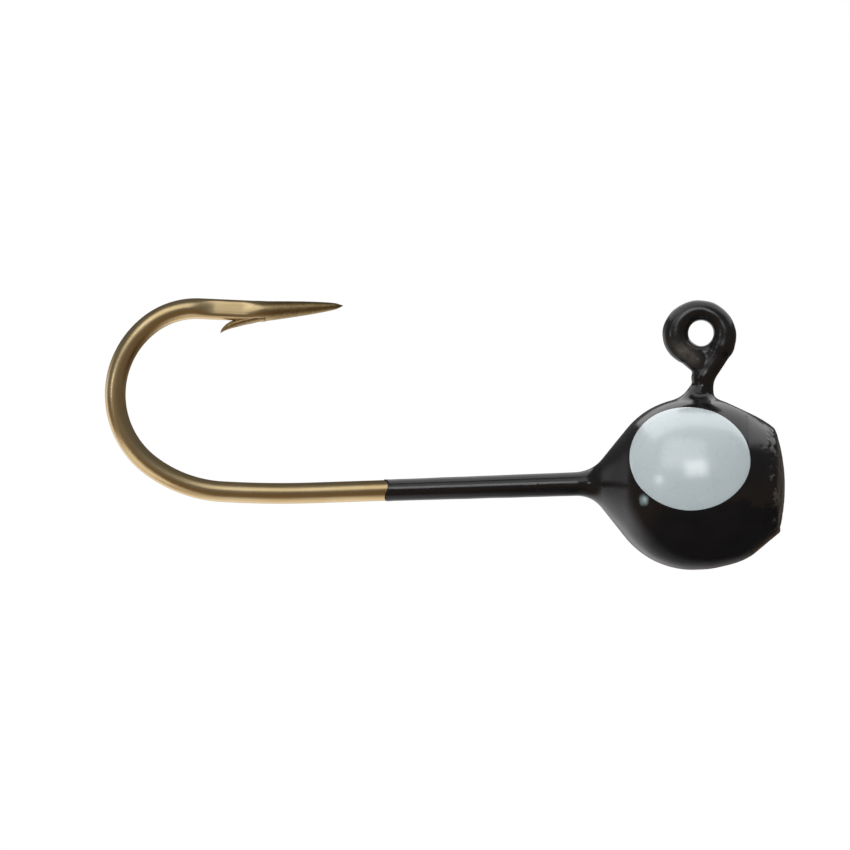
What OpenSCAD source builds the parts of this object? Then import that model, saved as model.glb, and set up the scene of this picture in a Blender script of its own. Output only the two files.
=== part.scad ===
// Round-ball jig head: a lead ball cast on a bent wire hook, painted, with an eye dot on each side.
// The origin is the centre of the line eye. +X runs along the shank towards the nose, +Z is up, and
// the hook lies in the XZ plane with its point above the shank.

/* [Hook wire] */
// Diameter of the bare wire
wire_d = 0.8; // [0.7:0.02:0.9]
// Straight shank, from the axis of the neck back to the start of the bend
shank_l = 15.5; // [14:0.1:18]
// Depth of the shank's axis below the centre of the line eye
shank_drop = 5.8; // [5.5:0.05:6.2]
// Centreline radius of the right angle bend inside the ball
elbow_r = 1.3; // [1:0.1:1.6]

/* [Bend] */
// Radius of the long, slow curve that leads into the bend
sweep_r = 40; // [30:1:50]
// Angle turned in the slow curve
sweep_turn = 5.2; // [3:0.1:7]
// Radius at the heel of the bend
heel_r = 5.2; // [4.8:0.1:5.6]
// Angle turned at the heel
heel_turn = 33.6; // [30:0.2:37]
// Radius round the back of the bend
back_r = 3.5; // [3.2:0.1:3.8]
// Angle turned round the back
back_turn = 106.4; // [100:0.2:110]
// Radius at the crown, where the wire turns forwards
crown_r = 3; // [2.7:0.1:3.3]
// Angle turned at the crown
crown_turn = 39.3; // [36:0.1:42]

/* [Point and barb] */
// Straight arm from the crown to the barb
arm_l = 2.45; // [2.2:0.05:3]
// Angle by which the point turns up from the arm
point_lift = 6.6; // [2:0.2:10]
// Length of the point's slow taper
shoulder_l = 2; // [1.4:0.1:2.4]
// Length of the sharp cone at its end
tip_l = 1.22; // [0.8:0.02:1.6]
// Length of the barb
barb_l = 1.58; // [1.2:0.02:1.8]
// Height of the barb's tip over the wire's surface
barb_rise = 0.52; // [0.3:0.02:0.7]
// Width of the barb across the hook
barb_w = 0.36; // [0.2:0.02:0.5]

/* [Line eye] */
// Radius of the eye's centreline
loop_r = 0.915; // [0.9:0.005:0.94]
// Diameter of the clear hole through the painted eye
eye_hole_d = 0.98; // [0.96:0.01:1]
// Angle that the wire turns in the eye before its end meets the neck
loop_turn = 295; // [270:1:296]
// Angle by which the neck leans out before it runs into the eye
lean = 40; // [36:1:44]
// Bend radius where the neck starts to lean
lean_r = 1; // [0.8:0.05:1.2]
// How far the axis of the neck stands in front of the eye's centre
neck_x = 0.02; // [-0.05:0.01:0.1]

/* [Lead head] */
// Radius of the cast ball
ball_r = 3.35; // [3.2:0.05:3.5]
// Distance between the centres of the ball's two halves, which makes it a little longer than round
ball_stretch = 0.25; // [0.1:0.05:0.3]
// Depth of the ball's centre below the line eye
ball_drop = 5.94; // [5.9:0.01:6]
// How far the ball's centre stands behind the line eye
ball_back = 0.27; // [0.2:0.01:0.35]
// Half angle of the tapered collar
collar_angle = 49; // [47:0.5:51]
// Radius of the collar's small end
collar_tip_r = 0.46; // [0.46:0.01:0.5]
// Radius of the flare that carries the lead up the neck
boss_fillet_r = 0.7; // [0.5:0.05:0.9]
// Radius of the trimmed casting gate at its face
gate_r = 1.85; // [1.6:0.05:1.95]
// How far the gate's face stands in front of the ball's centre
gate_x = 3.3; // [3.25:0.01:3.35]

/* [Paint] */
// Thickness of the black coat on the lead
coat_t = 0.05; // [0.04:0.005:0.08]
// Thickness of the coat on the line eye
eye_coat_t = 0.04; // [0.035:0.005:0.05]
// Thickness of the coat where it runs out on the shank
coat_end_t = 0.02; // [0.015:0.005:0.03]
// Length of painted shank, measured back from the axis of the neck
painted_l = 12.66; // [6:0.02:14]
// Radius of each eye dot
dot_r = 2.33; // [1:0.05:2.5]
// Thickness of each eye dot
dot_t = 0.03; // [0.02:0.005:0.05]
// Angle by which each dot's centre sits above the ball's equator
dot_up = 22; // [0:1:30]
// Angle by which each dot's centre sits back from the ball's widest section
dot_back = 5; // [0:1:15]

/* [Hidden] */
$fn = 96;
wire_r = wire_d / 2;
// Neighbouring stretches of a round run differ by this much in radius, and the slimmer one reaches
// this far into the other, so that they join as one body.
step = 0.002;
lap = 0.03;
// the point starts a little slimmer than the arm, and a little way inside it
point_r = wire_r - 0.016;
point_lap = 0.07;
// radius where the point's two tapers meet, and the blunt radius at its very end
shoulder_r = 0.24;
tip_r = 0.012;
// the cut that raises the barb: where it starts, how deep it is there, and where it runs out
cut_x = 0.69;
cut_z = 0.24;
cut_l = 1.9;
// straight stretch between the neck's lean and the eye, so that the eye's centre is the origin
lean_l = (loop_r * cos(lean) - lean_r * (1 - cos(lean)) - neck_x) / sin(lean);
neck_top_z = -(lean_r * sin(lean) + lean_l * cos(lean) + loop_r * sin(lean));
neck_l = neck_top_z + shank_drop - elbow_r;
ring_r = wire_r + eye_coat_t;
// the neck's coat is a little thinner than the eye's
neck_coat_d = wire_d + 2 * eye_coat_t - 0.02;
ball_x = -ball_back;
// the collar points from the centre of the ball's back half to the axis of the shank
collar_run = 3.95;
collar_base = 2.4;
collar_len = collar_run - collar_base;
collar_tilt = atan((ball_drop - shank_drop) / collar_run);
// the lead stands a little proud of the wire where the flare ends
boss_r = wire_r + 0.05 + boss_fillet_r;
boss_sink = 0.03;
boss_z = sqrt(pow(ball_r + boss_fillet_r - boss_sink, 2) - pow(boss_r, 2));
boss_base = 2.6;
// the gate widens back into the ball, and its face rises in a shallow dome
gate_len = 1.1;
gate_base_r = 2.45;
dome_h = 0.25;
dome_r = 0.9;
// the seam of each half of the ball lies between the gate and an eye dot
seam_turn = 45;

// A full-width straight stretch along +X, or only its place if d is 0; what follows starts at its end.
module straight(l, d) {
    if (d > 0) rotate([0, 90, 0]) cylinder(h = l, d = d);
    translate([l, 0, 0]) children();
}

// The same, slimmer and lapped into its neighbours.
module slim_straight(l, d) {
    if (d > 0) translate([-lap, 0, 0]) straight(l + 2 * lap, d - 2 * step);
    translate([l, 0, 0]) children();
}

// A ring sector in the XZ plane, from start to start + turn as seen from its centre at height r.
module sector(r, start, turn, d) {
    translate([0, 0, r]) rotate([90, 90, 0]) rotate([0, 0, start])
        rotate_extrude(angle = turn) translate([r, 0]) circle(d = d);
}

// A full-width stretch that turns from +X towards +Z; what follows starts at its end, heading along it.
module bend(r, turn, d) {
    if (d > 0) sector(r, 0, turn, d);
    translate([r * sin(turn), 0, r * (1 - cos(turn))]) rotate([0, -turn, 0]) children();
}

// The same, slimmer and lapped into its neighbours.
module slim_bend(r, turn, d) {
    lap_turn = lap / r * 180 / PI;
    if (d > 0) sector(r, -lap_turn, turn + 2 * lap_turn, d - 2 * step);
    bend(r, turn, 0) children();
}

// From the elbow in the ball back along the shank and round the bend, to where the barb is cut.
module shank_run(d) {
    translate([neck_x - elbow_r, 0, -shank_drop]) rotate([0, 0, 180])
        straight(shank_l - elbow_r, d)
        slim_bend(sweep_r, sweep_turn, d)
        bend(heel_r, heel_turn, d)
        slim_bend(back_r, back_turn, d)
        bend(crown_r, crown_turn, d)
        slim_straight(arm_l, d)
        children();
}

// From the same elbow up the neck to the line eye.
module neck_run(d) {
    translate([neck_x - elbow_r, 0, -shank_drop])
        slim_bend(elbow_r, 90, d)
        straight(neck_l, d)
        rotate([180, 0, 0]) slim_bend(lean_r, lean, d) rotate([180, 0, 0])
        straight(lean_l, d)
        children();
}

// The two tapers that sharpen the wire.
module point() {
    rotate([0, 90 + point_lift, 0]) {
        translate([0, 0, -point_lap]) cylinder(h = shoulder_l + point_lap, r1 = point_r, r2 = shoulder_r);
        translate([0, 0, shoulder_l - lap]) cylinder(h = tip_l + lap, r1 = shoulder_r - step, r2 = tip_r);
    }
}

// An outline in the plane of the hook, w thick and centred on the wire.
module across(w) {
    rotate([90, 0, 0]) linear_extrude(height = w, center = true) children();
}

// The sliver that the barb's cut raises, with its tip towards the bend.
module barb() {
    across(barb_w) polygon([[0, cut_z], [0, wire_r], [-barb_l, wire_r + barb_rise], [-cut_x, cut_z]]);
}

// What the cut takes out of the wire behind the barb.
module barb_cut() {
    across(2 * wire_d) polygon([[-cut_x, cut_z], [-cut_x, wire_d], [-cut_l, wire_d], [-cut_l, wire_r]]);
}

module bare_wire() {
    difference() {
        shank_run(wire_d) point();
        shank_run(0) barb_cut();
    }
    shank_run(0) barb();
    neck_run(wire_d) slim_bend(loop_r, loop_turn, wire_d);
}

// A cast ball in two halves, whose centres stand a little apart along X.
module ball(r) {
    for (x = [0, -ball_stretch])
        translate([x, 0, 0]) rotate([0, 0, seam_turn]) sphere(r = r);
}

// The tapered collar, from inside the ball's back half to the shank.
module collar(skin) {
    side_skin = skin / cos(collar_angle);
    translate([-ball_stretch, 0, 0]) rotate([0, -90 + collar_tilt, 0]) translate([0, 0, collar_base])
        cylinder(
            h = collar_len + skin,
            r1 = collar_tip_r + side_skin + collar_len * tan(collar_angle),
            r2 = collar_tip_r + side_skin - skin * tan(collar_angle)
        );
}

// The flare that carries the lead a little way up the neck.
module boss(skin) {
    translate([neck_x - ball_x, 0, 0]) rotate_extrude() difference() {
        translate([0, boss_base]) square([boss_r, boss_z - boss_base + skin]);
        translate([boss_r, boss_z]) circle(r = boss_fillet_r - skin);
    }
}

// The stub left where the casting gate was trimmed off.
module gate(skin) {
    translate([gate_x, 0, 0]) rotate([0, 90, 0]) {
        translate([0, 0, -gate_len])
            cylinder(h = gate_len - dome_h + skin, r1 = gate_base_r + skin, r2 = gate_r + skin);
        translate([0, 0, -dome_h])
            cylinder(h = dome_h + skin, r1 = gate_r - step + skin, r2 = dome_r);
    }
}

// The whole head, skin thicker all over than the bare casting.
module head_form(skin) {
    translate([ball_x, 0, -ball_drop]) {
        ball(ball_r + skin);
        collar(skin);
        boss(skin);
        gate(skin);
    }
}

// The painted stretch of shank: the coat thins towards its end.
module shank_coat_form() {
    translate([neck_x - painted_l, 0, -shank_drop]) rotate([0, 90, 0])
        cylinder(h = painted_l - elbow_r, r1 = wire_r + coat_end_t, r2 = wire_r + coat_t);
}

// The painted neck and eye. Paint fills the gap where the wire's end meets the neck.
module eye_coat_form() {
    neck_run(neck_coat_d);
    rotate([90, 0, 0]) rotate_extrude() translate([loop_r, 0]) circle(r = ring_r);
}

// A round dab of paint on one side of the ball: -1 is the side that faces -Y, 1 the side that faces +Y.
module eye_dot(side) {
    translate([ball_x, 0, -ball_drop]) intersection() {
        difference() {
            ball(ball_r + coat_t + dot_t);
            ball(ball_r + coat_t);
        }
        translate([-ball_stretch / 2, 0, 0]) rotate([-side * (90 - dot_up), 0, side * dot_back])
            cylinder(h = 2 * ball_r, r = dot_r);
    }
}

module hook_wire() color([0.83, 0.65, 0.25]) {
    bare_wire();
}

module lead_head() color([0.42, 0.42, 0.45]) {
    difference() {
        head_form(0);
        bare_wire();
    }
}

module black_coat() color([0.05, 0.05, 0.06]) {
    difference() {
        union() {
            head_form(coat_t);
            shank_coat_form();
            eye_coat_form();
        }
        head_form(0);
        bare_wire();
        rotate([90, 0, 0]) cylinder(h = 2 * wire_d, d = eye_hole_d, center = true);
    }
}

module left_eye_dot() color([0.72, 0.78, 0.8]) {
    eye_dot(-1);
}

module right_eye_dot() color([0.72, 0.78, 0.8]) {
    eye_dot(1);
}

hook_wire();
lead_head();
black_coat();
left_eye_dot();
right_eye_dot();
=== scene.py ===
"""Looks of a round-ball jig head: gold hook, black dipped paint over cast lead, a pale dot on each side.

Shapes are worked out in millimetres, with the centre of the line eye as the origin, +X towards the nose
and the hook in the XZ plane, and scaled to metres when a mesh is made.
"""

import math

import bpy
import numpy as np
from mathutils import Matrix, Vector, noise


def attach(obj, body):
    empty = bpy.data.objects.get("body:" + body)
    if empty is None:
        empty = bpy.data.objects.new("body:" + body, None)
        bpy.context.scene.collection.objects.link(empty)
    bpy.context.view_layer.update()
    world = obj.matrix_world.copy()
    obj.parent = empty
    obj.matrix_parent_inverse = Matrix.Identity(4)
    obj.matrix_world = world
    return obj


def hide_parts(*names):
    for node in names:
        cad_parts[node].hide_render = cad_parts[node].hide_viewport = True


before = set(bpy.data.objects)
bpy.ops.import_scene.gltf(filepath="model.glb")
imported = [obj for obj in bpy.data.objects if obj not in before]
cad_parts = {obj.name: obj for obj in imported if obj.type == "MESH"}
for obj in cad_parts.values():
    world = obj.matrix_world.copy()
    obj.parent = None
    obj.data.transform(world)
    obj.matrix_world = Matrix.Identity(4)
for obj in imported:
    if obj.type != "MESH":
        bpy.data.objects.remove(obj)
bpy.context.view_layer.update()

MM = 0.001

# --- Hook: the same run of straights and bends as the CAD wire ---
WIRE_R = 0.409
HIDDEN_WIRE_R = 0.3
HIDDEN_TAPER_L = 3.0
SHANK_L = 15.5
SHANK_DROP = 5.8
ELBOW_R = 1.3
BENDS = ((40.0, 5.2), (5.2, 33.6), (3.5, 106.4), (3.0, 39.3))
ARM_L = 2.45
POINT_L = 3.22
POINT_LIFT = 6.6
LIFT_R = 8.0
TIP_R = 0.012
NECK_X = 0.02
LEAN = 40.0
LEAN_R = 1.0
LOOP_R = 0.893
LOOP_TURN = 295.0
SECTION_STEP = 0.12
FINE_STEP = SECTION_STEP / 6
SIDES = 48

# --- Barb, measured from the end of the arm: lengths run back from it, heights run towards the shank ---
BARB_L = 1.6
BARB_START = 0.16
BARB_THICK = 0.36
BARB_HALF_W = 0.31
BARB_CURVE = 0.208
BARB_BELLY = 0.08
CUT_START = 0.69
CUT_DEPTH_Z = 0.36
CUT_END = 1.5
BURR_H = 0.03
BURR_L = 0.13
FLAT_TILT = 13.0
FLAT_OFF = 0.28
FLAT_SOFT = 0.05
FLAT_FROM, FLAT_TO = 0.35, 2.9
FLAT_FADE_IN, FLAT_FADE_OUT = 0.45, 1.1

# --- Head: a cast ball with a tapered collar, a flare up the neck and a trimmed gate ---
BALL_R = 3.4
BALL_STRETCH = 0.25
BALL_DROP = 5.94
BALL_BACK = 0.27
COLLAR_SLOPE = math.radians(51.3)
COLLAR_REACH = 3.95
GATE_SLOPE = math.radians(52.1)
SAG = 0.13
SAG_ALONG = (0.6, 2.2)
SAG_ACROSS = (0.8, 2.2)
GATE_DOME_R = 7.2
GATE_FACE_X = 3.39
GATE_RIM_X = 3.05
GATE_RIM_R = 1.95
GATE_EDGE = 0.08
TRIM_TILT = math.radians(63.0)
TRIM_OFF = 3.365
NICK_FROM, NICK_TO = np.array([2.85, 0, -1.7]), np.array([3.08, 0, -1.95])
NICK_R = 0.06
NICK_BLEND = 0.15
BOSS_X = -0.02
BOSS_TOP = -2.0
BOSS_R = 0.408
BOSS_L = 2.5
BOSS_SPREAD = 0.42
BOSS_SPREAD_L = 0.8
BOSS_DRIFT = 0.39
BOSS_BLEND = 0.3
LEAD_SKIN = 0.05

# --- Paint on the shank, neck and line eye: a swelling is (angle, span, height), in degrees and mm ---
PAINTED_L = 12.66
SHANK_COAT_R = 0.424
SHANK_BEAD = 0.013
SHANK_BEAD_L = 0.15
SHANK_COAT_GAIN = 0.0057
SHANK_BLEND = 0.52
NECK_COAT_R = 0.385
LEAN_COAT_R = 0.425
LEAN_BLEND = 0.2
NECK_BLEND = 0.13
EYE_R = 1.275
EYE_SWELLS = ((-25, 50, 0.155), (186, 60, 0.25))
FREE_END = 228.0
FREE_END_L = 0.62
FREE_END_R = 0.45
FREE_END_BLEND = 0.08
ROOT_OFF = 1.035
ROOT_LEAN = 35.3
WEB_R = 0.3
WEB_LOOP_R = 0.785
WEB_BLEND = 0.1
EYE_HOLE_R = 0.487
EYE_HOLE_EDGE = 0.1
EYE_BLEND = 0.08
CELL = 0.055

# --- Eye dots, each an ellipse as seen square on, and the smear by one; from the ball's centre ---
DOT_X = -0.36
DOT_Z = 1.0
DOT_LONG = 2.39
DOT_SHORT = 2.04
DOT_TURN = math.radians(-7.5)
DOT_T = 0.035
DOT_SINK = 0.012
DOT_FOOT = 0.03
DOT_WOBBLE = 0.004
SMEAR_X, SMEAR_Z = -2.22, -0.56
SMEAR_R = 0.15
SMEAR_TALL = 1.25

# --- Painted highlight: a grey sheen on the flanks of the wire's free end ---
SHEEN_X, SHEEN_Z = -0.66, -0.8
SHEEN_TURN = math.radians(-40)
SHEEN_LONG = 0.55
SHEEN_WIDE = 0.28

# --- Camera and light ---
VIEW_WIDTH = 33.575
AIM = (-11.01, 0.0, -3.27)
ROLL = math.radians(1.9)
CAMERA_DISTANCE = 1000.0
SENSOR = 36.0
FLOOR_Z = -34.0
FLOOR_R = 150.0
# Painted shade: a dark sheet under the ball, seen only in gloss, that darkens the ball's reflections
# below.
SHADE_SHEET_X = (-14, 14)
SHADE_SHEET_Y = (-14, 18)
SHADE_SHEET_Z = -12.5
SHADE_SHEET_FADE_LEFT = (-13, -5)
SHADE_SHEET_FADE_BACK = (1, 12)
SHADE_SHEET_SLANT = 0.6
OVERHEAD_X = (-13.0, 22.0)
OVERHEAD_Y = (-4.3, 24.0)
OVERHEAD_Z = 15.0
OVERHEAD_RADIANCE = 1.3


# ---------------------------------------------------------------- meshes


def walk(start, heading, moves):
    """(x, z) points and headings along straights and arcs; each move is (length, turn in degrees)."""
    point, angle = np.array(start, float), math.radians(heading)
    points, headings = [point.copy()], [angle]
    for length, turn in moves:
        n = max(1, math.ceil(length / SECTION_STEP))
        half = math.radians(turn) / n / 2
        chord = length / n * (math.sin(half) / half if half else 1)
        for _ in range(n):
            point = point + chord * np.array([math.cos(angle + half), math.sin(angle + half)])
            angle += 2 * half
            points.append(point.copy())
            headings.append(angle)
    return np.array(points), np.array(headings)


def arc(radius, turn):
    """A move round an arc; a positive turn is to the left."""
    return radius * math.radians(abs(turn)), turn


def smooth(x, start, end):
    """0 before start, 1 after end, with an eased step between."""
    t = np.clip((np.asarray(x, float) - start) / (end - start), 0, 1)
    return t * t * (3 - 2 * t)


def ring_faces(count, sides):
    """Quads between successive rings of a tube, with a face across each end."""
    i, j = np.meshgrid(np.arange(count - 1), np.arange(sides), indexing="ij")
    a, b = (i * sides + j).ravel(), (i * sides + (j + 1) % sides).ravel()
    quads = np.stack([a, a + sides, b + sides, b], 1).tolist()
    last = (count - 1) * sides
    return quads + [list(range(sides)), list(range(last, last + sides))[::-1]]


def make_piece(name, points, faces, slot, material, stands_for, **attributes):
    """A smooth-shaded piece in metres that rides on the part's one body."""
    mesh = bpy.data.meshes.new(name)
    mesh.from_pydata((np.asarray(points) * MM).tolist(), [], faces)
    mesh.polygons.foreach_set("use_smooth", [True] * len(mesh.polygons))
    for key, values in attributes.items():
        values = np.asarray(values, np.float32)
        kind, field = ("FLOAT_VECTOR", "vector") if values.ndim == 2 else ("FLOAT", "value")
        mesh.attributes.new(key, kind, "POINT").data.foreach_set(field, values.ravel())
    mesh.materials.append(material)
    obj = bpy.data.objects.new(name, mesh)
    bpy.context.scene.collection.objects.link(obj)
    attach(obj, "root")
    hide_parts(*stands_for)
    return obj


def surface_net(field, low, high, cell):
    """Quads on the zero level of a distance field; cells far from it are filled from a coarse pass."""
    coarse = 4
    counts = [math.ceil((high[i] - low[i]) / cell / coarse) for i in range(3)]
    low = np.array(low, float)
    rough = np.indices(counts).reshape(3, -1).T * cell * coarse + low + cell * (coarse - 1) / 2
    value = field(rough).reshape(counts)
    for axis in range(3):
        value = np.repeat(value, coarse, axis)
    near = np.argwhere(np.abs(value) < 1.3 * coarse * cell)
    value[tuple(near.T)] = field(near * cell + low)
    inside = value < 0
    corners = sum(
        inside[i : i - 1 or None, j : j - 1 or None, k : k - 1 or None].astype(np.int8)
        for i in (0, 1)
        for j in (0, 1)
        for k in (0, 1)
    )
    active = (corners > 0) & (corners < 8)
    index = np.full(active.shape, -1)
    index[active] = np.arange(active.sum())
    points = (np.argwhere(active) + 0.5) * cell + low
    quads = []
    for axis in range(3):
        a, b = [(1, 2), (2, 0), (0, 1)][axis]
        first, second = np.moveaxis(inside, axis, 0)[:-1], np.moveaxis(inside, axis, 0)[1:]
        edge = np.moveaxis(first != second, 0, axis)
        starts_in = np.moveaxis(first, 0, axis)
        at = np.argwhere(edge)
        inner = (at[:, a] > 0) & (at[:, b] > 0)
        at = at[inner & (at[:, a] < index.shape[a]) & (at[:, b] < index.shape[b])]
        step_a, step_b = np.eye(3, dtype=int)[a], np.eye(3, dtype=int)[b]
        around = [at - step_a - step_b, at - step_b, at, at - step_a]
        ring = np.stack([index[tuple(c.T)] for c in around], 1)
        turned = ~starts_in[tuple(at.T)]
        ring[turned] = ring[turned][:, ::-1]
        quads.append(ring)
    return points, np.concatenate(quads)


def gradient(field, points, step=0.004):
    """Unit outward direction of a distance field at points."""
    slopes = [field(points + step * axis) - field(points - step * axis) for axis in np.eye(3)]
    slope = np.stack(slopes, 1)
    return slope / np.maximum(np.linalg.norm(slope, axis=1, keepdims=True), 1e-9)


def settle(field, points, cell):
    """Moves points on to the zero level of a field, each staying near its own cell."""
    start = points.copy()
    for _ in range(5):
        points = points - field(points)[:, None] * gradient(field, points)
        points = np.clip(points, start - 0.8 * cell, start + 0.8 * cell)
    return points


def union(a, b, blend):
    """Joins two distance fields with a fillet about as wide as blend."""
    h = np.clip(0.5 + 0.5 * (b - a) / blend, 0, 1)
    return b + (a - b) * h - blend * h * (1 - h)


def trim(a, b, blend):
    """Cuts field a by field b with a rounded edge."""
    return -union(-a, -b, blend)


def rod(points, start, end, radius):
    """Distance to a round-ended rod."""
    start, along = np.array(start), np.array(end) - np.array(start)
    t = np.clip((points - start) @ along / (along @ along), 0, 1)
    return np.linalg.norm(points - start - t[:, None] * along, axis=1) - radius


def value_noise(points, size, seed=0.0):
    """Smooth noise from -1 to 1 with features about size millimetres across."""
    shift = Vector((seed, 2 * seed, -seed))
    return np.array([noise.noise(Vector(p) / size + shift) for p in points])


# ---------------------------------------------------------------- distance fields of the painted body

neck_lean = math.radians(LEAN)
lean_across = LOOP_R * math.cos(neck_lean) - LEAN_R * (1 - math.cos(neck_lean)) - NECK_X
lean_l = lean_across / math.sin(neck_lean)
neck_top = -(LEAN_R * math.sin(neck_lean) + lean_l * math.cos(neck_lean) + LOOP_R * math.sin(neck_lean))
upper_run = (
    arc(ELBOW_R, 90),
    (neck_top + SHANK_DROP - ELBOW_R, 0),
    arc(LEAN_R, -LEAN),
    (lean_l, 0),
    arc(LOOP_R, LOOP_TURN),
)
ball_centre = np.array([-BALL_BACK, 0, -BALL_DROP])
collar_tilt = math.atan2(BALL_DROP - SHANK_DROP, COLLAR_REACH)


def head_field(points, skin=0.0):
    """The ball with its collar and gate, skin millimetres outside the paint's surface."""
    x, y, z = (points - ball_centre).T
    ball = np.sqrt((x - np.clip(x, -BALL_STRETCH, 0)) ** 2 + y**2 + z**2) - BALL_R
    back = -(x + BALL_STRETCH) * math.cos(collar_tilt) + z * math.sin(collar_tilt)
    rise = (x + BALL_STRETCH) * math.sin(collar_tilt) + z * math.cos(collar_tilt)
    cone = back * math.sin(COLLAR_SLOPE) + np.hypot(y, rise) * math.cos(COLLAR_SLOPE) - BALL_R
    collar = np.maximum(cone, BALL_R * math.sin(COLLAR_SLOPE) - back)
    across = np.hypot(y, z)
    side = x * math.cos(GATE_SLOPE) + across * math.sin(GATE_SLOPE) - BALL_R
    gate = np.maximum(side, BALL_R * math.cos(GATE_SLOPE) - x)
    sag = SAG * smooth(x, *SAG_ALONG) * smooth(across, *SAG_ACROSS)
    head = np.minimum(np.minimum(ball, collar), gate) - sag
    face = np.sqrt((x - GATE_FACE_X + GATE_DOME_R) ** 2 + across**2) - GATE_DOME_R
    head = trim(head, face, GATE_EDGE)
    head = trim(head, x * math.cos(TRIM_TILT) + z * math.sin(TRIM_TILT) - TRIM_OFF, GATE_EDGE)
    nick = rod(points, ball_centre + NICK_FROM, ball_centre + NICK_TO, NICK_R)
    return union(head, nick, NICK_BLEND) - skin


def boss_field(points):
    """The short flare of lead round the foot of the neck, drifting back as it spreads on to the ball."""
    x, y, z = points.T
    down = BOSS_TOP - z
    spread = np.clip(down, 0, BOSS_SPREAD_L)
    cone = np.hypot(x - BOSS_X + BOSS_DRIFT * spread, y) - BOSS_R - BOSS_SPREAD * spread
    return np.maximum(np.maximum(0.85 * cone, -down), down - BOSS_L)


def shank_field(points):
    """The painted stretch of shank; its end is slightly uneven round the wire."""
    x, y, z = points.T
    rise = z + SHANK_DROP
    round_wire = np.arctan2(rise, -y)
    end = NECK_X - PAINTED_L + 0.05 * np.sin(2 * round_wire + 0.6) + 0.03 * np.sin(3 * round_wire)
    bead = SHANK_BEAD * np.exp(-(((x - end) / SHANK_BEAD_L) ** 2))
    radius = SHANK_COAT_R + SHANK_COAT_GAIN * np.clip(x - end, 0, 8) + bead
    return np.maximum(np.maximum(np.hypot(y, rise) - radius, x + ELBOW_R), end - x)


def eye_field(points):
    """The painted neck and line eye, with paint lying heavier over the wire's free end."""
    x, y, z = points.T
    root, free = math.radians(-ROOT_LEAN), math.radians(FREE_END)
    root_at = ROOT_OFF * np.array([math.cos(root), 0, math.sin(root)])
    root_way = np.array([math.sin(root), 0, -math.cos(root)])
    crook = root_at + root_way * (root_at[0] - NECK_X) / -root_way[0]
    neck = rod(points, (NECK_X, 0, -BALL_DROP), crook, NECK_COAT_R)
    neck = union(neck, rod(points, crook, root_at, LEAN_COAT_R), LEAN_BLEND)
    reach, angle = np.hypot(x, z), (np.arctan2(z, x) - root) % math.tau + root
    swell = np.zeros_like(reach)
    for at, span, size in EYE_SWELLS:
        away = np.abs((angle - math.radians(at) + math.pi) % math.tau - math.pi)
        swell += size * np.exp(-((away / math.radians(span)) ** 2))
    thick = (EYE_R + swell - EYE_HOLE_R) / 2
    middle = EYE_HOLE_R + thick
    nearest = np.where(angle > (free + root + math.tau) / 2, root, np.minimum(angle, free))
    out = np.stack([x - middle * np.cos(nearest), y, z - middle * np.sin(nearest)])
    ring = np.linalg.norm(out, axis=0) - thick
    free_at = (EYE_HOLE_R + FREE_END_R) * np.array([math.cos(free), 0, math.sin(free)])
    free_way = np.array([-math.sin(free), 0, math.cos(free)])
    free_rod = rod(points, free_at, free_at + FREE_END_L * free_way, FREE_END_R)
    ring = union(ring, free_rod, FREE_END_BLEND)
    web = np.hypot(reach - WEB_LOOP_R, y) - WEB_R
    eye = union(union(neck, ring, NECK_BLEND), web, WEB_BLEND)
    return trim(eye, EYE_HOLE_R - reach, EYE_HOLE_EDGE)


def paint_field(points):
    """Everything that the black paint covers."""
    body = union(head_field(points), boss_field(points), BOSS_BLEND)
    body = union(body, shank_field(points), SHANK_BLEND)
    return union(body, eye_field(points), EYE_BLEND)


# ---------------------------------------------------------------- node materials


def add(tree, kind, inputs=None, **settings):
    """A node with its settings, and its inputs set to values or linked to other sockets."""
    node = tree.nodes.new(kind)
    for key, value in settings.items():
        setattr(node, key, value)
    for key, value in (inputs or {}).items():
        if isinstance(value, bpy.types.NodeSocket):
            tree.links.new(value, node.inputs[key])
        else:
            node.inputs[key].default_value = value
    return node


def new_material(name, **inputs):
    """A material and its Principled shader, with uniform values set on the shader's own sockets."""
    material = bpy.data.materials.new(name)
    material.use_nodes = True
    shader = material.node_tree.nodes["Principled BSDF"]
    for key, value in inputs.items():
        shader.inputs[key.replace("_", " ")].default_value = value
    return material, material.node_tree, shader


def grain(tree, vector, size, detail=3.0, roughness=0.55):
    """Noise with features about size millimetres across, on coordinates in metres."""
    inputs = {"Vector": vector, "Scale": 1 / (size * MM), "Detail": detail, "Roughness": roughness}
    return add(tree, "ShaderNodeTexNoise", inputs).outputs["Fac"]


def remap(tree, value, from_low, from_high, to_low, to_high):
    """value stretched from one range to another, and held at its ends."""
    inputs = {
        "Value": value,
        "From Min": from_low,
        "From Max": from_high,
        "To Min": to_low,
        "To Max": to_high,
    }
    return add(tree, "ShaderNodeMapRange", inputs).outputs["Result"]


def math_node(tree, operation, a, b):
    return add(tree, "ShaderNodeMath", {0: a, 1: b}, operation=operation).outputs[0]


def blend_colours(tree, factor, a, b):
    """Colour a where factor is 0, b where it is 1."""
    node = add(tree, "ShaderNodeMix", data_type="RGBA")
    for key, value in (("Factor_Float", factor), ("A_Color", a), ("B_Color", b)):
        socket = next(s for s in node.inputs if s.identifier == key)
        if isinstance(value, bpy.types.NodeSocket):
            tree.links.new(value, socket)
        else:
            socket.default_value = value
    return next(s for s in node.outputs if s.identifier == "Result_Color")


def bump(tree, height, depth, strength=1.0, normal=None):
    """A bump depth millimetres deep."""
    inputs = {"Height": height, "Distance": depth * MM, "Strength": strength}
    if normal is not None:
        inputs["Normal"] = normal
    return add(tree, "ShaderNodeBump", inputs).outputs["Normal"]


def object_coordinates(tree):
    return add(tree, "ShaderNodeTexCoord").outputs["Object"]


def attribute(tree, name, output="Fac"):
    return add(tree, "ShaderNodeAttribute", attribute_name=name).outputs[output]


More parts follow.
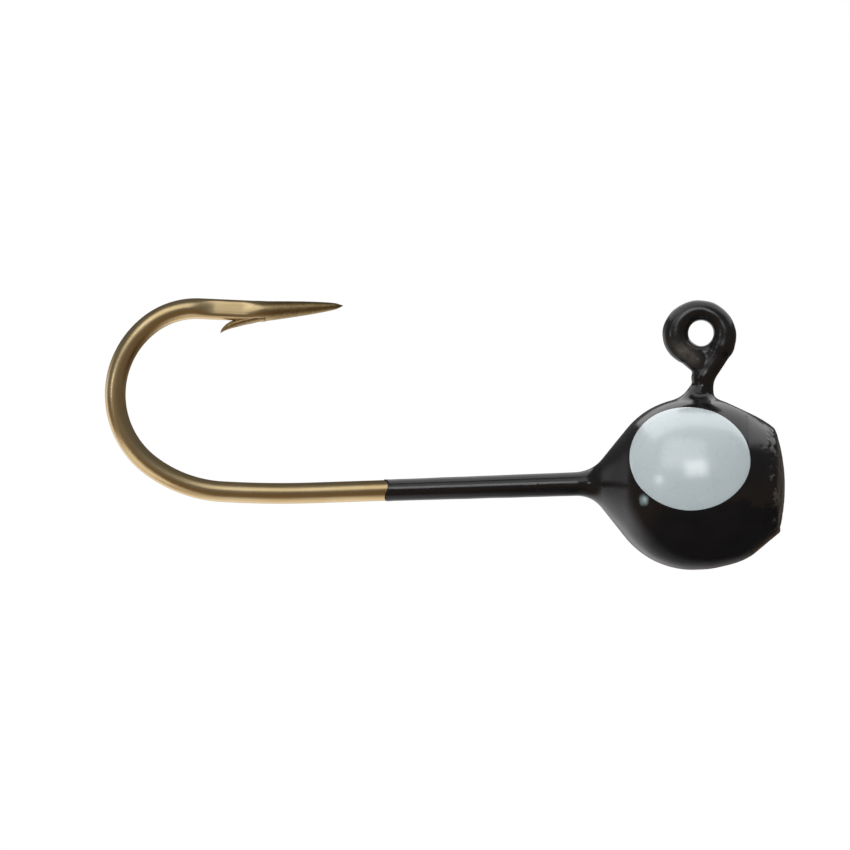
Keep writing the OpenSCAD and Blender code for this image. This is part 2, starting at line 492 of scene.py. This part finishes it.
def gold_plate():
    """Thin gold plating over drawn steel, worn dull and brown where the point is ground."""
    material, tree, shader = new_material("gold_plate", Metallic=1.0)
    where = object_coordinates(tree)
    along_wire = attribute(tree, "along_wire", "Vector")
    drawn = add(tree, "ShaderNodeVectorMath", {0: along_wire, 1: (0.5, 14.0, 14.0)}, operation="MULTIPLY")
    streaks = {"Vector": drawn.outputs[0], "Scale": 1.0, "Detail": 4.0}
    lines = add(tree, "ShaderNodeTexNoise", streaks).outputs["Fac"]
    cloud = remap(tree, grain(tree, where, 1.6), 0.35, 0.65, 0, 1)
    speck = grain(tree, where, 0.12, 2.0)
    ground = attribute(tree, "ground")
    plate = blend_colours(tree, cloud, (0.84, 0.66, 0.38, 1), (0.77, 0.58, 0.3, 1))
    plate = blend_colours(tree, remap(tree, lines, 0.55, 0.75, 0, 0.5), plate, (0.6, 0.42, 0.2, 1))
    specks = remap(tree, speck, 0.35, 0.65, 0, 1)
    dull = blend_colours(tree, specks, (0.36, 0.26, 0.12, 1), (0.5, 0.37, 0.18, 1))
    rough = remap(tree, lines, 0.3, 0.7, 0.28, 0.38)
    rough = math_node(tree, "ADD", rough, math_node(tree, "MULTIPLY", ground, 0.1))
    tree.links.new(blend_colours(tree, ground, plate, dull), shader.inputs["Base Color"])
    tree.links.new(rough, shader.inputs["Roughness"])
    normal = bump(tree, lines, 0.004, 0.5)
    tree.links.new(bump(tree, speck, 0.003, 0.4, normal), shader.inputs["Normal"])
    return material


def black_paint():
    """Dipped gloss paint: faint ripples, thin spots round the trimmed gate, a painted grey highlight on
    the eye's free end and a pale smear.
    """
    material, tree, shader = new_material("black_paint", Specular_IOR_Level=0.5, IOR=1.5)
    where = object_coordinates(tree)
    edge = math_node(tree, "SUBTRACT", 0.85, math_node(tree, "MULTIPLY", attribute(tree, "wear"), 0.3))
    chips = math_node(tree, "SUBTRACT", grain(tree, where, 0.42, 5.0, 0.65), edge)
    bare = remap(tree, chips, 0, 0.12, 0, 1)
    cloud = grain(tree, where, 0.9)
    tone = blend_colours(tree, cloud, (0.0045, 0.0042, 0.0045, 1), (0.009, 0.0075, 0.0075, 1))
    patchy = remap(tree, grain(tree, where, 0.25), 0.3, 0.7, 0.4, 1.0)
    # Painted highlight: a grey sheen put into the paint colour on the flanks of the eye's free end, in
    # place of light.
    sheen_amount = math_node(tree, "MULTIPLY", attribute(tree, "scuff"), patchy)
    tone = blend_colours(tree, sheen_amount, tone, (0.085, 0.078, 0.068, 1))
    speck = grain(tree, where, 0.15)
    metal = blend_colours(tree, speck, (0.03, 0.027, 0.024, 1), (0.085, 0.075, 0.066, 1))
    colour = blend_colours(tree, bare, tone, metal)
    smeared = remap(tree, attribute(tree, "smear"), 0.1, 0.9, 0, 1)
    colour = blend_colours(tree, smeared, colour, (0.23, 0.29, 0.3, 1))
    tree.links.new(colour, shader.inputs["Base Color"])
    gloss = remap(tree, grain(tree, where, 0.6), 0.3, 0.7, 0.13, 0.22)
    dull_eye = math_node(tree, "MULTIPLY", attribute(tree, "on_eye"), 0.06)
    dull = math_node(tree, "MAXIMUM", math_node(tree, "MULTIPLY", bare, 0.3), dull_eye)
    tree.links.new(math_node(tree, "ADD", gloss, dull), shader.inputs["Roughness"])
    ripple = bump(tree, grain(tree, where, 0.8, 2.0), 0.02, 0.3)
    pits = bump(tree, bare, 0.02, 0.5, ripple)
    tree.links.new(bump(tree, grain(tree, where, 0.06, 2.0), 0.002, 0.3, pits), shader.inputs["Normal"])
    return material


def dot_paint():
    """Pale blue-grey enamel, a little uneven where it was dabbed on."""
    material, tree, shader = new_material(
        "dot_paint", Coat_Weight=1.0, Coat_Roughness=0.2, Coat_IOR=1.7, IOR=1.5
    )
    where = object_coordinates(tree)
    mottle = remap(tree, grain(tree, where, 0.7, 2.0), 0.3, 0.7, 0, 1)
    colour = blend_colours(tree, mottle, (0.355, 0.407, 0.423, 1), (0.368, 0.42, 0.437, 1))
    dust = remap(tree, grain(tree, where, 0.09, 1.0), 0.68, 0.76, 0, 0.22)
    colour = blend_colours(tree, dust, colour, (0.33, 0.4, 0.44, 1))
    tree.links.new(colour, shader.inputs["Base Color"])
    tree.links.new(remap(tree, mottle, 0, 1, 0.26, 0.3), shader.inputs["Roughness"])
    soft = bump(tree, grain(tree, where, 0.9, 2.0), 0.02, 0.25)
    tree.links.new(soft, shader.inputs["Normal"])
    return material


def cast_lead():
    """Dull cast lead with a fine skin of oxide."""
    material, tree, shader = new_material("cast_lead", Metallic=0.7)
    where = object_coordinates(tree)
    cloud = grain(tree, where, 0.8, 5.0)
    colour = blend_colours(tree, cloud, (0.16, 0.16, 0.17, 1), (0.34, 0.34, 0.35, 1))
    tree.links.new(colour, shader.inputs["Base Color"])
    tree.links.new(remap(tree, cloud, 0.3, 0.7, 0.4, 0.65), shader.inputs["Roughness"])
    tree.links.new(bump(tree, grain(tree, where, 0.15, 4.0), 0.02, 0.5), shader.inputs["Normal"])
    return material


# ---------------------------------------------------------------- the gold hook


def hook_sections():
    """Centres, headings, distance run and distance past the arm's end, from the eye's free end to the tip,
    and how many of them come before the shank."""
    start = (NECK_X - ELBOW_R, -SHANK_DROP)
    up_points, up_headings = walk(start, 0, upper_run)
    lift_l = LIFT_R * math.radians(POINT_LIFT)
    down = [(SHANK_L - ELBOW_R, 0)]
    down += [arc(radius, -turn) for radius, turn in BENDS]
    down += [(ARM_L - lift_l / 2, 0), arc(LIFT_R, POINT_LIFT), (POINT_L - lift_l / 2, 0)]
    down_points, down_headings = walk(start, 180, down)
    points = np.concatenate([up_points[:0:-1], down_points])
    headings = np.concatenate([up_headings[:0:-1] + math.pi, down_headings])
    run = np.concatenate([[0], np.cumsum(np.linalg.norm(np.diff(points, axis=0), axis=1))])
    return points, headings, run, run - (run[-1] - POINT_L), len(up_points)


def refine(points, headings, run, past, low, high):
    """Extra sections between two distances past the arm's end, for the fine shapes there."""
    wanted = np.arange(low, high, FINE_STEP)
    merged = np.unique(np.round(np.concatenate([past, wanted]), 5))
    return (
        np.stack([np.interp(merged, past, points[:, i]) for i in (0, 1)], 1),
        np.interp(merged, past, headings),
        np.interp(merged, past, run),
        merged,
    )


def wire_radius(run, past, painted_run):
    """Bare wire, slimmer where it hides under paint, and ground to an ogive at the point."""
    bare = smooth(run, painted_run, painted_run + HIDDEN_TAPER_L)
    radius = HIDDEN_WIRE_R + (WIRE_R - HIDDEN_WIRE_R) * bare
    to_tip = np.clip(POINT_L - past, 0, None)
    ogive = WIRE_R * np.sqrt(to_tip / (POINT_L + 0.1)) * smooth(to_tip, -0.25, 0.3)
    return np.maximum(np.minimum(radius, ogive), TIP_R)


def shape_barb_zone(up, side, past):
    """Flats pressed on the wire's sides, the cut that raised the barb, and the burr in front of it."""
    pressed = smooth(-past, FLAT_FROM - FLAT_FADE_IN, FLAT_FROM + FLAT_FADE_IN)
    pressed = pressed * (1 - smooth(-past, FLAT_TO - FLAT_FADE_OUT, FLAT_TO))
    tilt = math.radians(FLAT_TILT)
    over = up * math.sin(tilt) + np.abs(side) * math.cos(tilt) - FLAT_OFF
    over = pressed * (over + np.hypot(over, FLAT_SOFT)) / 2
    up, side = up - over * math.sin(tilt), side - np.sign(side) * over * math.cos(tilt)
    depth = np.clip((-past - CUT_START) / (CUT_END - CUT_START), 0, 1) ** 0.8
    floor_z = np.where(-past > CUT_START, CUT_DEPTH_Z + (WIRE_R + 0.02 - CUT_DEPTH_Z) * depth, 1)
    up = np.maximum(up, -floor_z)
    burr = BURR_H * np.exp(-(((past - 0.02) / BURR_L) ** 2)) * smooth(-up, 0.2, 0.4)
    return up - burr, side


def barb_points(arm_end, heading):
    """Rings of the barb's curved sliver, from inside the wire out to its tip."""
    back = np.concatenate([np.linspace(-BARB_START, 1.3, 26), np.linspace(1.34, BARB_L, 12)])
    share = np.clip(back / BARB_L, 0, 1)
    thick = BARB_THICK * np.sqrt(np.clip(1 - share**4, 0.0004, 1))
    belly = BARB_BELLY * smooth(back, -0.1, 0.5) * (1 - smooth(back, 0.8, BARB_L))
    outer = WIRE_R - 0.01 + BARB_CURVE * back * np.abs(back) + belly
    width = BARB_HALF_W * np.clip(1 - share**1.7, 0.0004, 1) ** 0.75
    turn = np.linspace(0, math.tau, 24, endpoint=False)
    drop = (outer - thick / 2)[:, None] + thick[:, None] / 2 * np.cos(turn)
    side = width[:, None] * np.sin(turn)
    ahead = -np.repeat(back[:, None], len(turn), 1)
    along = np.array([math.cos(heading), math.sin(heading)])
    up = np.array([-math.sin(heading), math.cos(heading)])
    flat = arm_end + ahead[..., None] * along - drop[..., None] * up
    return np.stack([flat[..., 0], side, flat[..., 1]], -1)


def build_hook(material):
    points, headings, run, past, upper_count = hook_sections()
    elbow_run = run[upper_count]
    for low, high in ((-3.0, 0.6), (POINT_L - 0.5, POINT_L)):
        points, headings, run, past = refine(points, headings, run, past, low, high)
    radius = wire_radius(run, past, elbow_run)
    turn = np.linspace(0, math.tau, SIDES, endpoint=False)
    up, side = radius[:, None] * np.cos(turn), radius[:, None] * np.sin(turn)
    up, side = shape_barb_zone(up, side, np.repeat(past[:, None], SIDES, 1))
    normal = np.stack([-np.sin(headings), np.cos(headings)], 1)
    flat = points[:, None, :] + up[..., None] * normal[:, None, :]
    rings = np.stack([flat[..., 0], side, flat[..., 1]], -1)
    wire_co = np.stack([np.repeat(run[:, None], SIDES, 1), up, side], -1).reshape(-1, 3)
    ground = np.repeat(smooth(past, -0.45, 0.7), SIDES)
    at = np.argmin(np.abs(past))
    on_arm = np.argmin(np.abs(past + 1))
    arm_heading = headings[on_arm]
    arm_end = points[on_arm] + np.array([math.cos(arm_heading), math.sin(arm_heading)])
    barb = barb_points(arm_end, arm_heading)
    sections, sides = barb.shape[:2]
    barb_flat = barb.reshape(-1, 3)
    offset = len(rings) * SIDES
    faces = ring_faces(len(rings), SIDES)
    faces += [[offset + i for i in face] for face in ring_faces(sections, sides)]
    barb_co = barb_flat + np.array([run[at] - barb_flat[0, 0], 0, 0])
    return make_piece(
        "gold_hook",
        np.concatenate([rings.reshape(-1, 3), barb_flat]),
        faces,
        "gold_wire",
        material,
        ["hook_wire"],
        along_wire=np.concatenate([wire_co, barb_co]),
        ground=np.concatenate([ground, np.full(len(barb_flat), 0.9)]),
    )


# ---------------------------------------------------------------- paint, lead and dots


def gate_wear(points):
    """1 round the trimmed edge of the gate, falling to 0 on the ball."""
    x, y, z = (points - ball_centre).T
    rim = np.hypot(x - GATE_RIM_X, np.hypot(y, z) - GATE_RIM_R)
    return np.maximum(1 - smooth(rim, 0.25, 1.0), 0.55 * smooth(x, 2.7, 3.1))


def smear(points):
    """1 where a little of the pale paint has smeared below the -Y dot, falling softly to 0."""
    x, y, z = (points - ball_centre).T
    away = np.hypot((x - SMEAR_X) / SMEAR_R, (z - SMEAR_Z) / SMEAR_R / SMEAR_TALL)
    return np.exp(-(away**2)) * (y < 0)


def scuff(points):
    """1 where a grey highlight is painted on the flanks of the wire's free end, falling softly to 0."""
    x, z = points[:, 0], points[:, 2]
    along = (x - SHEEN_X) * math.cos(SHEEN_TURN) + (z - SHEEN_Z) * math.sin(SHEEN_TURN)
    across = (z - SHEEN_Z) * math.cos(SHEEN_TURN) - (x - SHEEN_X) * math.sin(SHEEN_TURN)
    return np.exp(-((along / SHEEN_LONG) ** 2) - (across / SHEEN_WIDE) ** 2)


def build_paint(material):
    cell = CELL * 1
    low, high = (-13.0, -3.7, -9.6), (3.5, 3.7, 1.7)
    points, faces = surface_net(paint_field, low, high, cell)
    points = settle(paint_field, points, cell)
    normals = gradient(paint_field, points)
    wear = gate_wear(points)
    on_eye = smooth(points[:, 2], -2.4, -1.2)
    lumps = value_noise(points, 0.9, 3.0)
    lift = 0.006 * lumps + 0.012 * on_eye * value_noise(points, 0.45, 7.0)
    rag = value_noise(points, 0.34, 11.0) + 0.5 * value_noise(points, 0.15, 5.0)
    lift += -0.035 * wear * np.clip(rag + 0.25, 0, None)
    points = points + lift[:, None] * normals
    return make_piece(
        "black_coating",
        points,
        faces.tolist(),
        "black_paint",
        material,
        ["black_coat"],
        wear=wear,
        on_eye=on_eye,
        # painted highlight on the flanks of the wire's free end
        scuff=scuff(points),
        smear=smear(points) * (1 + 0.6 * value_noise(points, 0.2, 9.0)),
    )


def build_lead(material):
    """The casting under the paint, on the same surface a coat's thickness inside it."""
    cell = 2 * CELL

    def lead_field(points):
        return union(head_field(points, -LEAD_SKIN), boss_field(points) + LEAD_SKIN, BOSS_BLEND)

    low, high = (-5.0, -3.7, -9.6), (3.5, 3.7, -1.8)
    points, faces = surface_net(lead_field, low, high, cell)
    points = settle(lead_field, points, cell)
    return make_piece("lead_casting", points, faces.tolist(), "lead", material, ["lead_head"])


def on_head(x, z, lift):
    """How far out the painted head stands at (x, z) seen square on, lift millimetres proud of it."""
    reach = x - np.clip(x, -BALL_STRETCH, 0)
    y = np.sqrt(np.clip(BALL_R**2 - reach**2 - z**2, 0.01, None))
    lift = np.broadcast_to(lift, y.shape).ravel()
    for _ in range(10):
        points = np.stack([x, y, z], -1).reshape(-1, 3) + ball_centre
        y = y - (head_field(points) - lift).reshape(y.shape)
    return y


def dot_shape(side):
    """Points and faces of a dab of paint with a soft raised rim, on the -Y or the +Y side of the head."""
    around, steps = 96, 22
    angle = np.linspace(0, math.tau, around, endpoint=False)
    share = np.sin(np.linspace(0.08, math.pi / 2, steps))
    waves = np.sin(3 * angle + 1) + 0.6 * np.sin(5 * angle + 2) + 0.4 * np.sin(2 * angle)
    outline = 1 + DOT_WOBBLE * waves
    a = share[:, None] * outline * DOT_LONG * np.cos(angle)
    b = share[:, None] * outline * DOT_SHORT * np.sin(angle)
    x = DOT_X + a * math.cos(DOT_TURN) - b * math.sin(DOT_TURN)
    z = DOT_Z + a * math.sin(DOT_TURN) + b * math.cos(DOT_TURN)
    edge = np.sqrt(np.clip(1 - share**24, 0, 1))
    profile = DOT_T * edge * (1 + 0.25 * share**6) - DOT_SINK
    top = np.stack([x, side * on_head(x, z, profile[:, None]), z], -1)
    foot = top[-1] - (top[-1] / np.linalg.norm(top[-1], axis=1, keepdims=True)) * DOT_FOOT
    rings = np.concatenate([top, foot[None]])
    faces = ring_faces(steps + 1, around)
    if side > 0:
        faces = [face[::-1] for face in faces]
    return rings.reshape(-1, 3) + ball_centre, faces


def build_dot(name, side, node, material):
    points, faces = dot_shape(side)
    return make_piece(name, points, faces, "dot_paint", material, [node])


# ---------------------------------------------------------------- stage, light and camera


def build_floor():
    material, tree, shader = new_material("floor", Roughness=0.9, Emission_Strength=0.25)
    shader.inputs["Emission Color"].default_value = (1, 1, 1, 1)
    where = object_coordinates(tree)
    pale = blend_colours(tree, grain(tree, where, 30.0), (0.84, 0.84, 0.84, 1), (0.86, 0.86, 0.86, 1))
    tree.links.new(pale, shader.inputs["Base Color"])
    angle = np.linspace(0, math.tau, 96, endpoint=False)
    rim = np.stack([FLOOR_R * np.cos(angle), FLOOR_R * np.sin(angle), np.full(96, FLOOR_Z)], 1)
    mesh = bpy.data.meshes.new("floor")
    mesh.from_pydata((rim * MM).tolist(), [], [list(range(96))])
    mesh.materials.append(material)
    floor = bpy.data.objects.new("floor", mesh)
    floor.visible_glossy = False
    bpy.context.scene.collection.objects.link(floor)


def aim_at(obj, target):
    direction = (Vector(target) - obj.location).normalized()
    obj.rotation_mode = "QUATERNION"
    obj.rotation_quaternion = direction.to_track_quat("-Z", "Y")


def softbox(name, left, up, width, height, radiance, distance=600.0):
    """A rectangular light, placed and sized in degrees left of and above the camera's axis."""
    left, up = math.radians(left), math.radians(up)
    light = bpy.data.lights.new(name, "AREA")
    light.shape = "RECTANGLE"
    light.size = 2 * distance * MM * math.tan(math.radians(width) / 2)
    light.size_y = 2 * distance * MM * math.tan(math.radians(height) / 2)
    light.energy = radiance * math.pi * light.size * light.size_y
    obj = bpy.data.objects.new(name, light)
    towards = (-math.sin(left) * math.cos(up), -math.cos(left) * math.cos(up), math.sin(up))
    obj.location = Vector(towards) * distance * MM + Vector(ball_centre) * MM
    obj.visible_camera = False
    bpy.context.scene.collection.objects.link(obj)
    aim_at(obj, Vector(ball_centre) * MM)
    return obj


def light_only(lights, name, pieces):
    """Let these lights fall on these pieces and on nothing else."""
    receivers = bpy.data.collections.new(name)
    for piece in pieces:
        receivers.objects.link(piece)
    for light in lights:
        light.light_linking.receiver_collection = receivers


def build_overhead():
    """A light panel close above and behind the head, for the soft band along the top of the ball."""
    light = bpy.data.lights.new("overhead_panel", "AREA")
    light.shape = "RECTANGLE"
    light.size = (OVERHEAD_X[1] - OVERHEAD_X[0]) * MM
    light.size_y = (OVERHEAD_Y[1] - OVERHEAD_Y[0]) * MM
    light.energy = OVERHEAD_RADIANCE * math.pi * light.size * light.size_y
    obj = bpy.data.objects.new("overhead_panel", light)
    middle = Vector((sum(OVERHEAD_X) / 2, sum(OVERHEAD_Y) / 2, OVERHEAD_Z))
    obj.location = (Vector(ball_centre) + middle) * MM
    obj.visible_camera = False
    bpy.context.scene.collection.objects.link(obj)
    return obj


def build_shade_sheet():
    """A dark sheet of net under the ball, seen only in gloss, that fades out to the left and the back; it
    is painted shade, standing in for the shadow below the ball in the ball's reflections.
    """
    material, tree, shader = new_material("shade_sheet", Roughness=0.9)
    where = object_coordinates(tree)
    dark = blend_colours(tree, grain(tree, where, 0.5), (0.01, 0.01, 0.01, 1), (0.02, 0.02, 0.02, 1))
    tree.links.new(dark, shader.inputs["Base Color"])
    split = add(tree, "ShaderNodeSeparateXYZ", {0: where})
    from_left, to_left = SHADE_SHEET_FADE_LEFT
    from_back, to_back = SHADE_SHEET_FADE_BACK
    left = remap(tree, split.outputs["X"], from_left * MM, to_left * MM, 0, 1)
    lean = math_node(tree, "MULTIPLY", split.outputs["X"], SHADE_SHEET_SLANT)
    slant = math_node(tree, "SUBTRACT", split.outputs["Y"], lean)
    back = remap(tree, slant, from_back * MM, to_back * MM, 1, 0)
    tree.links.new(math_node(tree, "MULTIPLY", left, back), shader.inputs["Alpha"])
    (left_x, right_x), (near_y, far_y) = SHADE_SHEET_X, SHADE_SHEET_Y
    corners = ((left_x, near_y), (right_x, near_y), (right_x, far_y), (left_x, far_y))
    mesh = bpy.data.meshes.new("shade_sheet")
    mesh.from_pydata([(x * MM, y * MM, SHADE_SHEET_Z * MM) for x, y in corners], [], [(0, 1, 2, 3)])
    mesh.materials.append(material)
    shade_sheet = bpy.data.objects.new("shade_sheet", mesh)
    shade_sheet.visible_camera = shade_sheet.visible_diffuse = shade_sheet.visible_shadow = False
    bpy.context.scene.collection.objects.link(shade_sheet)


def build_world():
    """White to the camera; in gloss, dim in front and white below and low behind on the left; and a soft
    fill from above."""
    world = bpy.data.worlds.new("studio")
    world.use_nodes = True
    bpy.context.scene.world = world
    tree = world.node_tree
    background = tree.nodes["Background"]
    direction = add(tree, "ShaderNodeTexCoord").outputs["Generated"]
    split = add(tree, "ShaderNodeSeparateXYZ", {0: direction})

    def along(way):
        dot = add(tree, "ShaderNodeVectorMath", {0: direction, 1: way}, operation="DOT_PRODUCT")
        return dot.outputs["Value"]

    below = remap(tree, split.outputs["Z"], -0.8, -1.05, 0, 1)
    behind = remap(tree, split.outputs["Y"], 0.05, 0.4, 0, 1)
    low_left = remap(tree, along((-0.6, 0, -0.8)), 0.12, 0.5, 0, 1)
    upper = remap(tree, split.outputs["Z"], -0.35, 0.25, 0, 1)
    front = blend_colours(tree, upper, (0.155, 0.11, 0.07, 1), (0.11, 0.11, 0.11, 1))
    white = math_node(tree, "MAXIMUM", below, math_node(tree, "MULTIPLY", behind, low_left))
    room = blend_colours(tree, white, front, (1.05, 1.03, 1.06, 1))
    lit = remap(tree, along((-0.35, -0.15, 0.9)), -0.5, 0.95, 0, 1)
    fill = blend_colours(tree, lit, (0.1, 0.1, 0.1, 1), (1.15, 1.15, 1.15, 1))
    path = add(tree, "ShaderNodeLightPath")
    room = blend_colours(tree, path.outputs["Is Diffuse Ray"], room, fill)
    seen = path.outputs["Is Camera Ray"]
    tree.links.new(blend_colours(tree, seen, room, (1, 1, 1, 1)), background.inputs["Color"])


def build_camera():
    camera = bpy.data.cameras.new("camera")
    camera.sensor_width = SENSOR
    camera.lens = SENSOR * CAMERA_DISTANCE / VIEW_WIDTH
    camera.clip_start, camera.clip_end = 0.01, 10
    obj = bpy.data.objects.new("camera", camera)
    turn = Matrix(
        (
            (math.cos(ROLL), math.sin(ROLL), 0),
            (0, 0, -1),
            (-math.sin(ROLL), math.cos(ROLL), 0),
        )
    )
    place = Matrix.Translation((Vector(AIM) - Vector((0, CAMERA_DISTANCE, 0))) * MM)
    obj.matrix_world = place @ turn.to_4x4()
    bpy.context.scene.collection.objects.link(obj)
    bpy.context.scene.camera = obj


bpy.context.scene.view_settings.view_transform = "Standard"
build_camera()
build_world()
build_floor()
key = softbox("key_softbox", left=-1, up=21, width=20, height=20, radiance=3.2)
softbox("top_softbox", left=19, up=42, width=46, height=40, radiance=0.97)
softbox("left_softbox", left=33, up=27, width=28, height=24, radiance=0.24)
softbox("side_light", left=46, up=6.7, width=8, height=8, radiance=4.5)
low_left = softbox("low_left_softbox", left=66, up=-40, width=50, height=32, radiance=0.85)
overhead = build_overhead()
# painted shade under the ball, seen only in its reflections
build_shade_sheet()

hook = build_hook(gold_plate())
coating = build_paint(black_paint())
build_lead(cast_lead())
dots = dot_paint()
left_dot = build_dot("left_dot", -1, "left_eye_dot", dots)
right_dot = build_dot("right_dot", 1, "right_eye_dot", dots)

light_only((key, overhead), "painted", (coating, left_dot, right_dot))
light_only((low_left,), "plated", (hook,))
